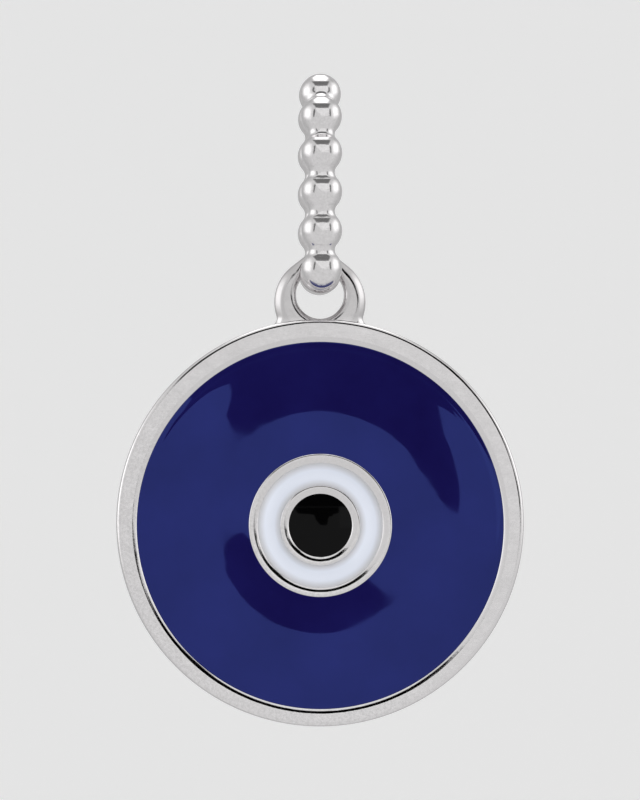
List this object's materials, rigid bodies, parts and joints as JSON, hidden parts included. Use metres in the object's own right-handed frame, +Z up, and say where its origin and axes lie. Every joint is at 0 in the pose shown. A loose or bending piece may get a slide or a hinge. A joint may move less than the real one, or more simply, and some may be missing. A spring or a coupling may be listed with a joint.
{
  "type": "evil eye pendant",
  "caption": "Round enamelled metal disc with a ringed eye, hanging by its loop from an oval bail of cast beads for a chain.",
  "frame": {"origin": "inside the top of the bail, on the neck between its two top beads, where a chain carries the pendant", "axes": "+Z up along the hanging pendant, -Y the way the eye looks, +X to the right as the eye is seen"},
  "size_m": [0.015, 0.0058, 0.024],
  "materials": {
    "polished_silver": "polished sterling silver, finely brushed on the flat rim",
    "blue_enamel": "glossy cobalt blue enamel",
    "white_enamel": "glossy white enamel",
    "black_enamel": "glossy black enamel"
  },
  "bodies": {
    "bail": {"beaded_bail": "polished_silver"},
    "disc": {"case": "polished_silver", "blue_enamel": "blue_enamel", "white_enamel": "white_enamel", "black_enamel": "black_enamel"}
  },
  "joints": [
    {"name": "disc_swing", "type": "hinge", "parent": "bail", "child": "disc", "pos_m": [0, 0, -0.00614], "axis": [0, 1, 0], "range_deg": [-110, 110]}
  ]
}
